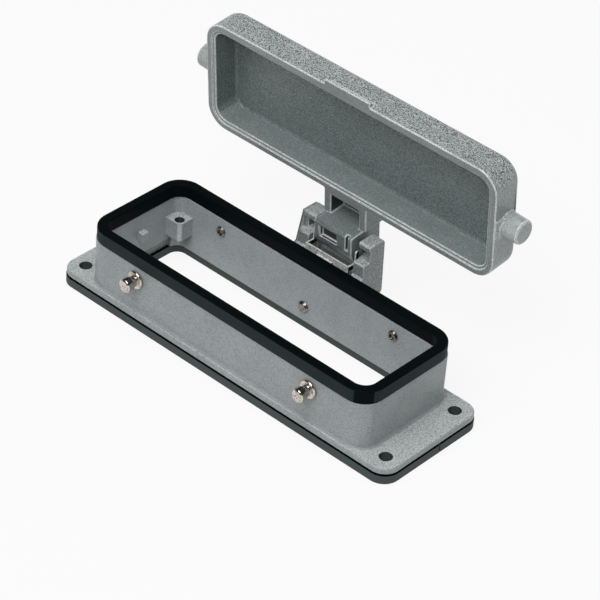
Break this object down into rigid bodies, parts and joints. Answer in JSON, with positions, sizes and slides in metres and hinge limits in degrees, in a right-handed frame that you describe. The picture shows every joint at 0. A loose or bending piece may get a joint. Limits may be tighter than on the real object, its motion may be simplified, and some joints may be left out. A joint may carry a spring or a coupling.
{
  "type": "bulkhead mounting base housing with hinged protective cover for rectangular connectors",
  "caption": "Low rectangular die-cast housing with panel flange, rim and flange gaskets, locking pegs and a sprung hinged cover standing open.",
  "frame": {"origin": "centre of the four flange holes on the panel face, which is the underside of the flange gasket", "axes": "+X along the housing; +Y across it, towards the hinge; +Z out of the panel"},
  "size_m": [0.1416, 0.0719, 0.0846],
  "materials": {
    "housing_paint": "grey powder coat over die-cast aluminium, satin",
    "bracket_paint": "grey powder coat over die-cast aluminium, satin",
    "cover_paint": "grey powder coat over die-cast aluminium, pebbled satin",
    "rim_rubber": "moulded nitrile rubber, smooth",
    "flange_rubber": "moulded nitrile rubber, matt",
    "peg_steel": "turned stainless steel, bright",
    "rivet_steel": "plated steel",
    "pin_steel": "ground steel",
    "spring_steel": "rolled spring steel, bright"
  },
  "bodies": {
    "housing": {"base_housing": "housing_paint", "rim_gasket": "rim_rubber", "flange_gasket": "flange_rubber", "peg_front_left": "peg_steel", "peg_front_right": "peg_steel", "peg_rear_left": "peg_steel", "peg_rear_right": "peg_steel", "hinge_bracket": "bracket_paint", "bracket_rivet": "rivet_steel", "hinge_pin": "pin_steel", "leaf_spring": "spring_steel"},
    "lid": {"cover": "cover_paint"}
  },
  "joints": [
    {"name": "cover_hinge", "type": "hinge", "parent": "housing", "child": "lid", "pos_m": [0, 0.0349, 0.0279], "axis": [1, 0, 0], "range_deg": [0, 85]}
  ]
}
